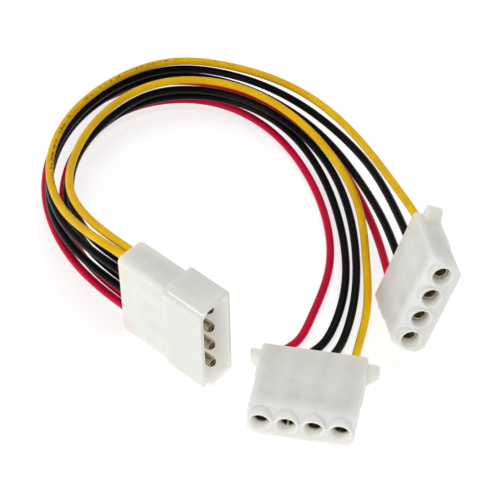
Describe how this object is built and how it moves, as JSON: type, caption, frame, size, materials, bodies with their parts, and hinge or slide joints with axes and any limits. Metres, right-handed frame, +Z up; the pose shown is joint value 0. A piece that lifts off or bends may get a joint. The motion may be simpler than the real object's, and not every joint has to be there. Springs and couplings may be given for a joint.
{
  "type": "drive power splitter cable",
  "caption": "Short power splitter cable: a shrouded pin connector joined by loose yellow, black and red wires to socket plugs with side ears, in translucent white nylon.",
  "frame": {"origin": "centre of the three connectors' common bounding box, on the floor they lie on; the wires are left out", "axes": "+X from the pin connector towards the socket plugs, +Y towards the loop of wires behind them, +Z up"},
  "size_m": [0.0857, 0.1136, 0.0253],
  "materials": {
    "nylon": "translucent satin",
    "terminal_brass": "plated",
    "yellow_sleeve": "satin",
    "black_sleeve": "satin",
    "red_sleeve": "satin"
  },
  "bodies": {
    "root": {"input_housing": "nylon", "input_pin_red": "terminal_brass", "input_pin_black_2": "terminal_brass", "input_pin_black_1": "terminal_brass", "input_pin_yellow": "terminal_brass", "plug_a_housing": "nylon", "plug_a_socket_red": "terminal_brass", "plug_a_socket_black_2": "terminal_brass", "plug_a_socket_black_1": "terminal_brass", "plug_a_socket_yellow": "terminal_brass", "plug_b_housing": "nylon", "plug_b_socket_red": "terminal_brass", "plug_b_socket_black_2": "terminal_brass", "plug_b_socket_black_1": "terminal_brass", "plug_b_socket_yellow": "terminal_brass", "wire_a_red": "red_sleeve", "wire_a_black_2": "black_sleeve", "wire_a_black_1": "black_sleeve", "wire_a_yellow": "yellow_sleeve", "wire_b_red": "red_sleeve", "wire_b_black_2": "black_sleeve", "wire_b_black_1": "black_sleeve", "wire_b_yellow": "yellow_sleeve"}
  },
  "joints": []
}
